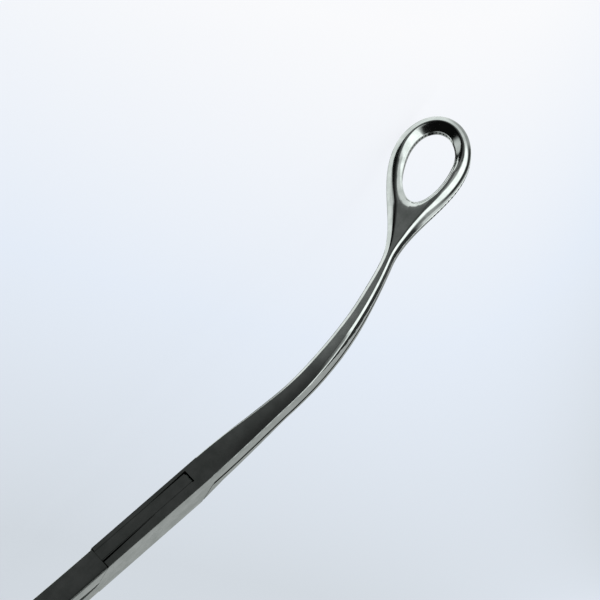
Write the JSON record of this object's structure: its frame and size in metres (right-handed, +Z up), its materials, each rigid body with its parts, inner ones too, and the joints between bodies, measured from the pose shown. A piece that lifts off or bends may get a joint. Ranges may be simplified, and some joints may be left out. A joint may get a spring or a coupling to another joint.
{
  "type": "sponge forceps",
  "caption": "Curved ring forceps in polished steel: box lock, slim bending jaws with serrated open rings, bowed handles with finger rings and a ratchet.",
  "frame": {"origin": "centre of the bounding box, on the surface that the closed instrument rests on", "axes": "+X along the instrument toward the jaw tips; +Y toward the finger ring of the male half; +Z up, on the convex side of the bend"},
  "size_m": [0.2536, 0.0658, 0.0251],
  "materials": {
    "forged_steel": "mirror polish with fine wipe marks",
    "pin_steel": "ground flush and polished"
  },
  "bodies": {
    "female": {"female_half": "forged_steel", "lock_pin": "pin_steel"},
    "male": {"male_half": "forged_steel"}
  },
  "joints": [
    {"name": "box_lock", "type": "hinge", "parent": "female", "child": "male", "pos_m": [0.01405, 0, 0.01832], "axis": [0.1147, 0, -0.9934], "range_deg": [0, 30]}
  ]
}
